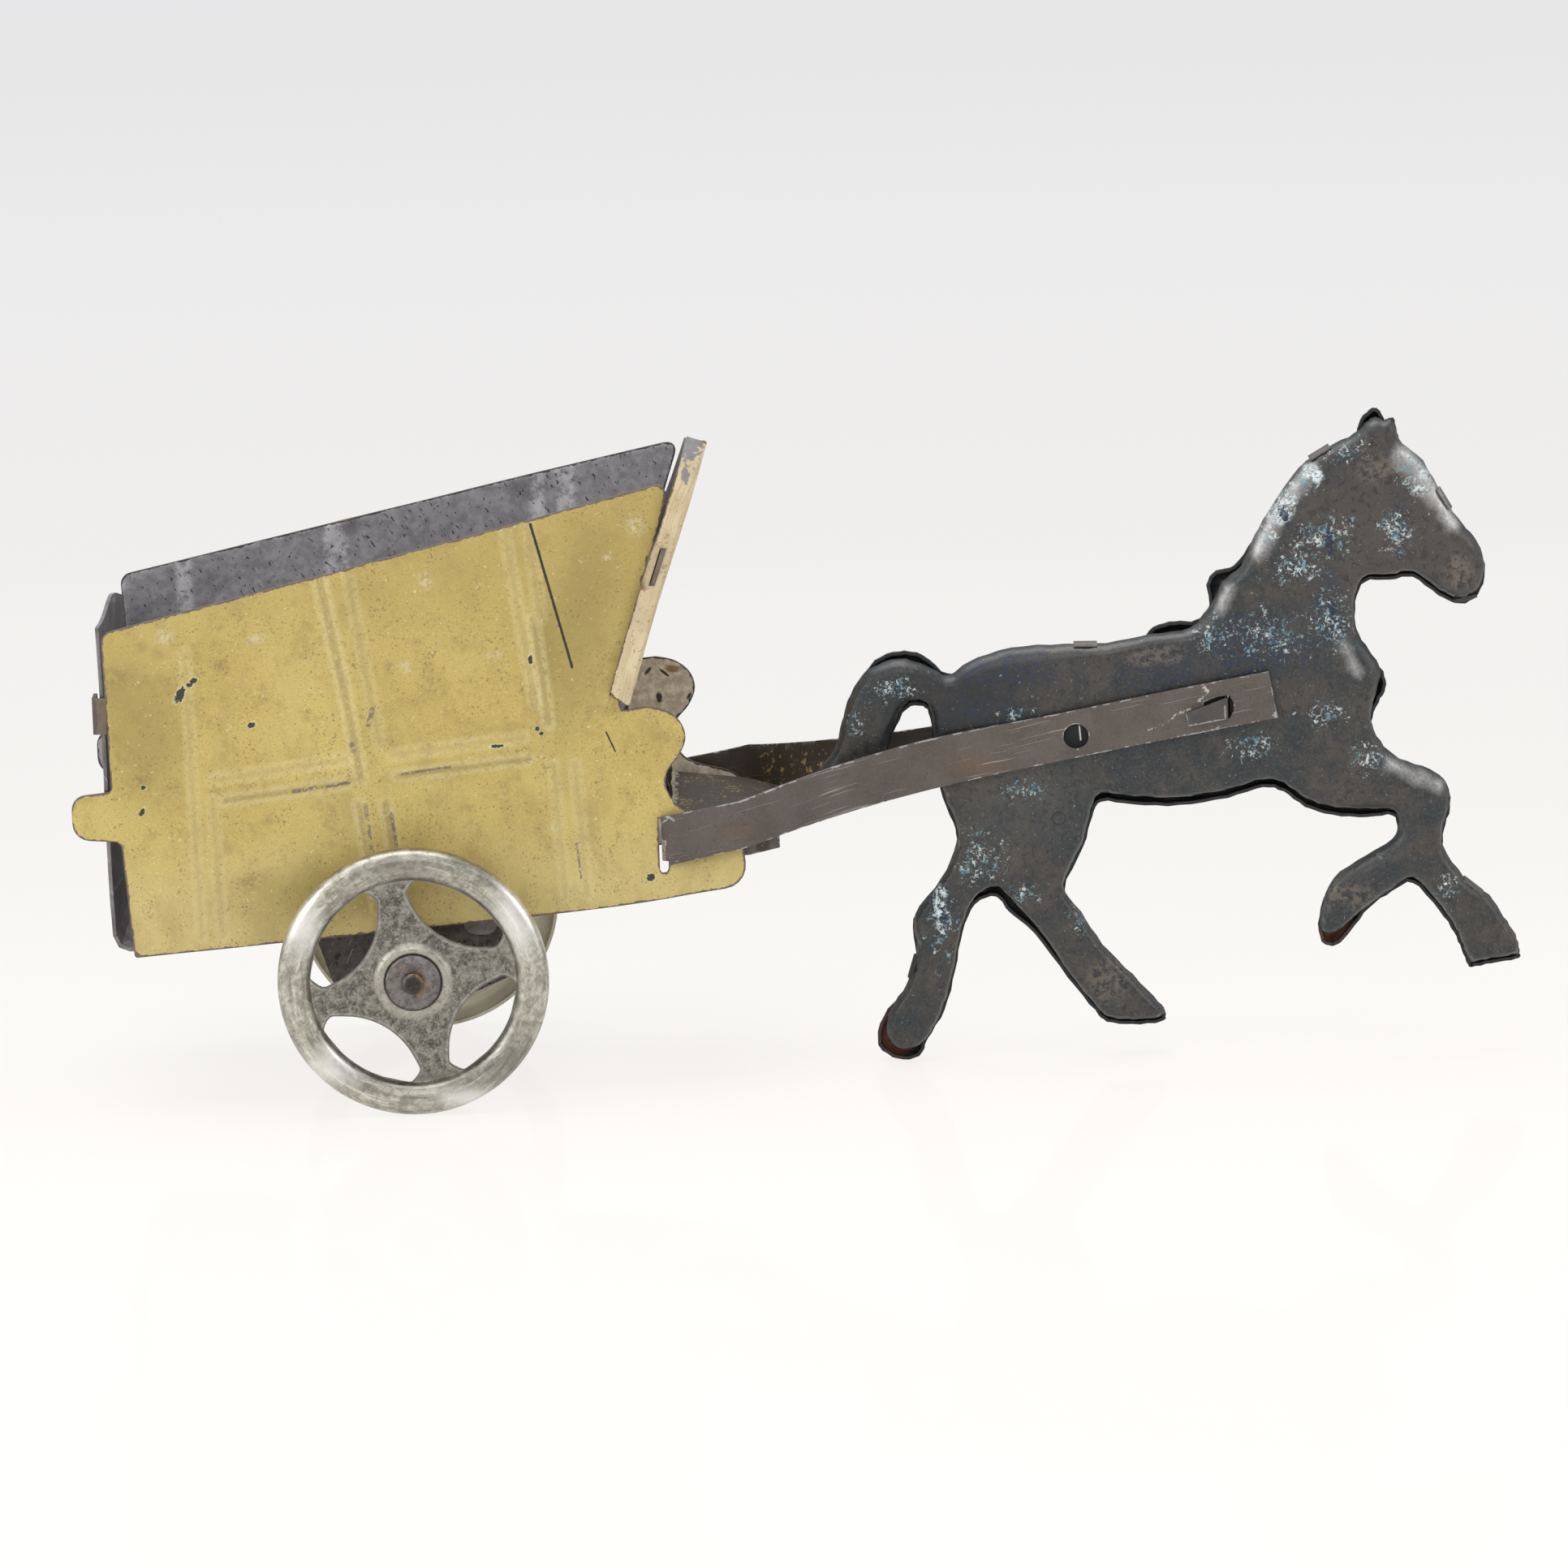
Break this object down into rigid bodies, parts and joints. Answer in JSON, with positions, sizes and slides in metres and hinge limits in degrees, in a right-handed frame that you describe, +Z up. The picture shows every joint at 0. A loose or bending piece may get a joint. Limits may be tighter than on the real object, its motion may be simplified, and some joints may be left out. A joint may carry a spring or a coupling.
{
  "type": "horse-drawn cart penny toy",
  "caption": "Small pressed-tinplate toy: a two-wheeled open cart with a leaning front board and turning wheels, drawn by a flat two-shell horse held between its shafts.",
  "frame": {"origin": "on the ground, at the middle of the toy's length and midway between the wheels", "axes": "+X forward, the way the horse faces; +Y to the horse's left, the side away from the picture's camera; +Z up"},
  "size_m": [0.136, 0.0412, 0.0626],
  "materials": {
    "yellow_paint": "worn mustard yellow paint on tinplate",
    "cream_paint": "worn cream paint on tinplate",
    "bare_tin": "dulled bare tinplate",
    "brown_japan": "worn dark brown varnish on tinplate",
    "black_japan": "glossy worn black varnish on tinplate",
    "wheel_tin": "bright tinplate with yellowed lacquer",
    "steel": "dark iron wire and sheet"
  },
  "bodies": {
    "cart": {"side_panel_near": "yellow_paint", "side_panel_far": "yellow_paint", "floor_tray": "bare_tin", "front_board": "cream_paint", "shaft_bridge": "brown_japan", "shaft_near": "brown_japan", "shaft_far": "brown_japan", "shaft_strap": "bare_tin", "horse_near_half": "black_japan", "horse_far_half": "black_japan", "axle_saddle": "steel", "axle": "steel", "hub_disc_near": "steel", "hub_disc_far": "steel"},
    "near_wheel": {"wheel_near": "wheel_tin"},
    "far_wheel": {"wheel_far": "wheel_tin"}
  },
  "joints": [
    {"name": "near_wheel_turn", "type": "hinge", "parent": "cart", "child": "near_wheel", "pos_m": [-0.03669, -0.019, 0.0127], "axis": [0, 1, 0], "continuous": true},
    {"name": "far_wheel_turn", "type": "hinge", "parent": "cart", "child": "far_wheel", "pos_m": [-0.03669, 0.019, 0.0127], "axis": [0, 1, 0], "continuous": true}
  ]
}
